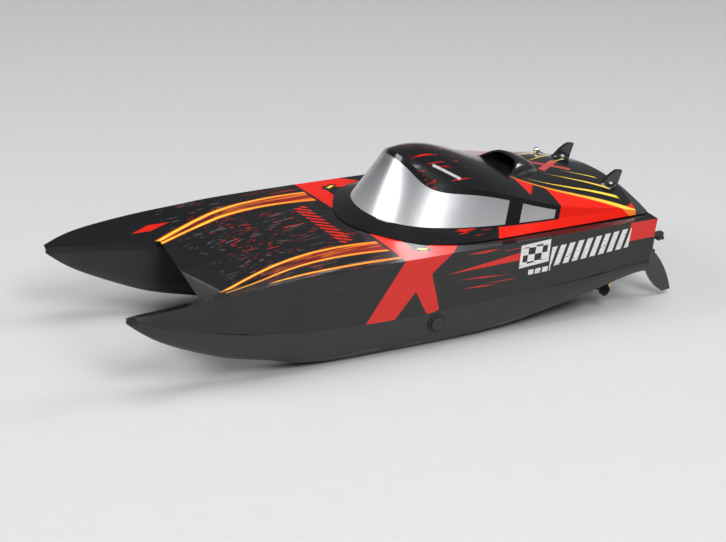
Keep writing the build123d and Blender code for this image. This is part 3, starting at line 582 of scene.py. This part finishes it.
@dataclass(frozen=True)
class BatteryWrap(Finish):
    """Blue shrink film with two plain pale bands."""

    def paint(self, tree: Tree, point: Wire) -> Wire:
        """Film and bands."""
        canvas = Canvas(tree, point)
        base = tree.mix(tree.noise(point, 80.0), self.colour, (0.02, 0.09, 0.30))
        band = canvas.x.within(112, 118, 0.3) | canvas.x.within(162, 164, 0.3)
        return tree.mix(band, base, (0.75, 0.76, 0.78))


def finishes() -> dict[str, Finish]:
    """Every finish by material slot."""
    return {
        "hull_grey": LowerHull("hull_grey", (0.018, 0.018, 0.020), 0.40, coat=0.0, grain=1500, scuff=0.14),
        "deck_black": DeckLivery("deck_black", (0.009, 0.009, 0.010), 0.18, coat=0.45, scuff=0.07, grain=500,
                                 grain_depth=0.000008, specular=0.25),
        "canopy_black": CanopyLivery("canopy_black", (0.010, 0.010, 0.011), 0.18, coat=0.5, scuff=0.07, grain=500,
                                     grain_depth=0.000008, specular=0.25),
        "silver_glazing": Glazing("silver_glazing", (0.82, 0.83, 0.85), 0.30, metallic=0.75, coat=0.4, scuff=0.06),
        "cover_grey": Finish("cover_grey", (0.032, 0.034, 0.038), 0.38, coat=0.2),
        "fin_black": Finish("fin_black", (0.012, 0.012, 0.013), 0.24, coat=0.6, scuff=0.10),
        "chrome": Finish("chrome", (0.86, 0.87, 0.88), 0.07, metallic=1.0, scuff=0.04),
        "steel": Finish("steel", (0.52, 0.53, 0.55), 0.28, metallic=1.0, stretch=(0.08, 1, 1), scuff=0.12),
        "motor_can": Finish("motor_can", (0.44, 0.45, 0.46), 0.34, metallic=1.0, stretch=(0.1, 1, 1), scuff=0.14),
        "brass": Finish("brass", (0.74, 0.52, 0.22), 0.26, metallic=1.0, stretch=(1, 0.1, 0.1), scuff=0.12),
        "nylon_black": Finish("nylon_black", (0.022, 0.022, 0.024), 0.48, grain=1800, scuff=0.12),
        "propeller_plastic": Finish("propeller_plastic", (0.02, 0.02, 0.022), 0.30, coat=0.3),
        "rubber_black": Finish("rubber_black", (0.022, 0.022, 0.022), 0.72, grain=2200, scuff=0.10),
        "foam_grey": Finish("foam_grey", (0.11, 0.11, 0.115), 0.92, grain=2600, grain_depth=0.0001),
        "battery_wrap": BatteryWrap("battery_wrap", (0.02, 0.10, 0.34), 0.22, coat=0.5),
        "strap_web": Webbing("strap_web", (0.02, 0.02, 0.02), 0.85),
        "servo_case": Finish("servo_case", (0.015, 0.04, 0.13), 0.28, coat=0.3),
        "radio_case": Finish("radio_case", (0.03, 0.03, 0.034), 0.50, grain=1600),
        "switch_red": Finish("switch_red", (0.55, 0.02, 0.015), 0.35),
    }


# ---------------------------------------------------------------- the boat
class Dresser:
    """Puts the finishes on the carried-over parts."""

    def __init__(self) -> None:
        """Builds every material once."""
        self.materials = {slot: finish.make() for slot, finish in finishes().items()}
        self.slots = {row["node"]: row["material_slot"] for row in frame["record"]["subparts"]}

    def dress(self, piece: bpy.types.Object, slot: str) -> None:
        """Gives a piece the finish of one slot.

        Args:
            piece: the object to dress.
            slot: the record's material slot.
        """
        if not piece.material_slots:
            piece.data.materials.append(self.materials[slot])
        for holder in piece.material_slots:
            holder.material = self.materials[slot]

    def dress_frame(self) -> None:
        """Dresses every part of the frame."""
        for name, part in frame["nodes"].items():
            self.dress(part, self.slots[name])
            LOG.info("dressed %s as %s", name, self.slots[name])


@dataclass
class Studio:
    """Pale floor, soft lights, and the camera."""

    look_at: tuple[float, float, float] = (0.215, 0.0, 0.040)   # from the stern, over the keels
    azimuth: float = 145.40
    elevation: float = 23.28
    roll: float = 5.66
    distance: float = 1.5919
    shift_right: float = 0.00557
    shift_up: float = -0.00594
    lens: float = 109.96

    def camera(self) -> None:
        """Sets the camera at the boat's three-quarter view."""
        turn, rise, roll = (math.radians(part) for part in (self.azimuth, self.elevation, self.roll))
        back = Vector((math.sin(turn) * math.cos(rise), -math.cos(turn) * math.cos(rise), math.sin(rise)))
        level = Vector((0, 0, 1)).cross(back).normalized()
        above = back.cross(level)
        right = math.cos(roll) * level + math.sin(roll) * above
        up = math.cos(roll) * above - math.sin(roll) * level
        target = Vector(self.look_at) + Vector((BOAT.stern, 0, 0))
        place = target + back * self.distance + right * self.shift_right + up * self.shift_up
        data = bpy.data.cameras.new("camera")
        data.sensor_width = 36.0
        data.sensor_fit = "HORIZONTAL"
        data.lens = self.lens
        camera = bpy.data.objects.new("camera", data)
        camera.matrix_world = Matrix.Translation(place) @ Matrix((right, up, back)).transposed().to_4x4()
        bpy.context.scene.collection.objects.link(camera)
        bpy.context.scene.camera = camera

    def lamp(self, name: str, place: Sequence[float], size: float, power: float) -> None:
        """A soft square light aimed at the boat.

        Args:
            name: the light's name.
            place: its position, in metres.
            size: side of the square, in metres.
            power: its power, in watts.
        """
        data = bpy.data.lights.new(name, "AREA")
        data.size = size
        data.energy = power
        light = bpy.data.objects.new(name, data)
        light.location = place
        light.rotation_euler = (Vector((0, 0, 0.05)) - Vector(place)).to_track_quat("-Z", "Y").to_euler()
        bpy.context.scene.collection.objects.link(light)

    def surroundings(self) -> None:
        """Floor, sky and lights."""
        mesh = bpy.data.meshes.new("floor")
        grid = bmesh.new()
        bmesh.ops.create_grid(grid, x_segments=8, y_segments=8, size=6.0)
        grid.to_mesh(mesh)
        grid.free()
        floor = bpy.data.objects.new("floor", mesh)
        floor.location.z = -0.0002
        bpy.context.scene.collection.objects.link(floor)
        floor.data.materials.append(Finish("floor_paper", (0.50, 0.50, 0.50), 0.85, variation=0.02, grain=300).make())
        world = bpy.data.worlds.new("studio")
        world.use_nodes = True
        world.node_tree.nodes["Background"].inputs[0].default_value = (0.80, 0.81, 0.83, 1)
        world.node_tree.nodes["Background"].inputs[1].default_value = 0.16
        bpy.context.scene.world = world
        bpy.context.scene.view_settings.view_transform = "Standard"
        self.lamp("key", (0.2, 1.3, 1.5), 0.8, 24)
        self.lamp("front", (1.5, -0.3, 1.1), 0.7, 14)
        self.lamp("rear", (-1.5, 0.3, 1.2), 0.6, 12)
        self.lamp("top", (0.1, 0.1, 2.0), 1.0, 22)


def main() -> None:
    """Builds the looks in order."""
    logging.basicConfig(level=logging.INFO)
    Dresser().dress_frame()
    studio = Studio()
    studio.surroundings()
    studio.camera()


if __name__ == "__main__":
    main()
